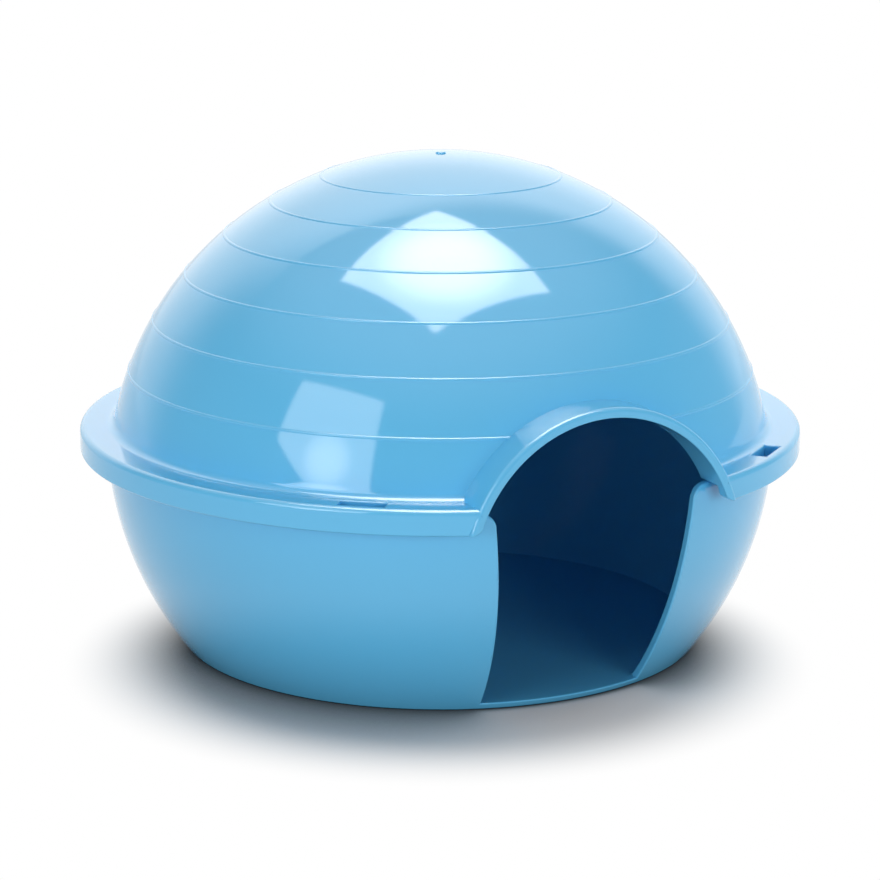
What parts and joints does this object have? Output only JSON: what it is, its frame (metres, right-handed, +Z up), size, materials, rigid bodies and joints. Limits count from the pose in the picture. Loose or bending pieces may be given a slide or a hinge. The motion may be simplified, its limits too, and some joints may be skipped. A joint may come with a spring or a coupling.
{
  "type": "rodent igloo",
  "caption": "Small-pet igloo: a ball-shaped dome lid with ring beads, a rim flange and an arched doorway collar, lifting off a flat-floored bowl with a matching doorway cut.",
  "frame": {"origin": "middle of the flat underside, on the axis of the dome and the bowl, on the ground", "axes": "+Z up along the axis of the dome and the bowl, -Y out through the doorway, +X to the right of someone inside looking at the back wall"},
  "size_m": [0.165, 0.1595, 0.1123],
  "materials": {
    "blue_plastic": "glossy sky-blue moulded plastic"
  },
  "bodies": {
    "base": {"bowl_base": "blue_plastic"},
    "lid": {"dome_lid": "blue_plastic"}
  },
  "joints": [
    {"name": "lid_lift", "type": "slide", "parent": "base", "child": "lid", "axis": [0, 0, 1], "range_m": [0, 0.06]}
  ]
}
